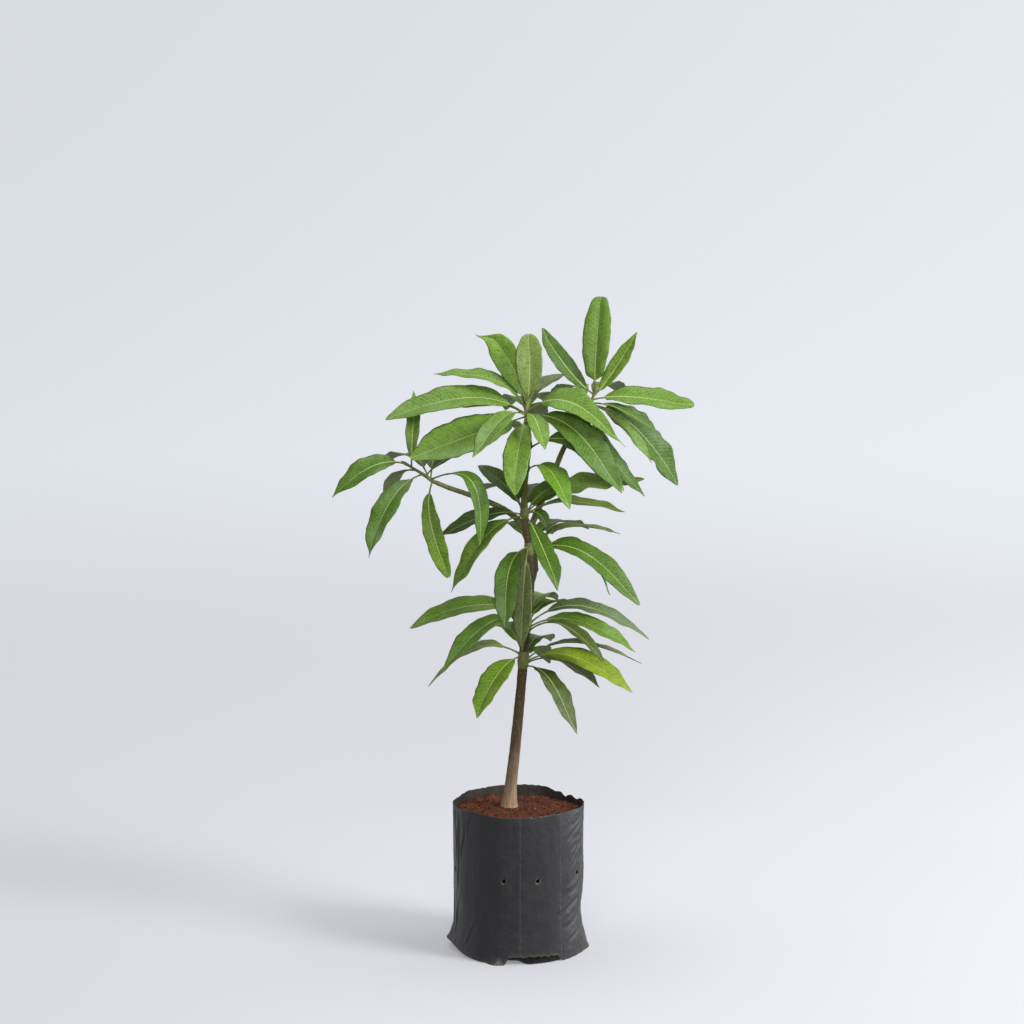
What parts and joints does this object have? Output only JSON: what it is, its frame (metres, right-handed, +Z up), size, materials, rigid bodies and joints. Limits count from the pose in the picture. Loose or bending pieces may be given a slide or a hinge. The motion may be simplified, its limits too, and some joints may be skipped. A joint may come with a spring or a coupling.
{
  "type": "potted mango tree sapling",
  "caption": "Young mango tree with whorls of long glossy leaves on a slender leaning trunk and short boughs, in a black film grow bag of red-brown soil",
  "frame": {"origin": "Middle of the grow bag's flat underside, on the floor", "axes": "+Z up along the tree; +X to the right as the plant is seen from the front, towards the higher bough; +Y away from the front"},
  "size_m": [0.4463, 0.2396, 0.8232],
  "materials": {
    "black_film": "satin",
    "red_soil": "matte",
    "bark": "matte",
    "green_bark": "matte",
    "leaf": "satin"
  },
  "bodies": {
    "root": {"grow_bag": "black_film", "soil": "red_soil", "trunk": "bark", "bough_left": "green_bark", "bough_right": "green_bark", "leaves_lower": "leaf", "leaves_second": "leaf", "leaves_under_fork": "leaf", "leaves_fork": "leaf", "leaf_leader": "leaf", "leaves_shoulder": "leaf", "leaves_top": "leaf", "leaves_left": "leaf", "leaves_right": "leaf"}
  },
  "joints": []
}
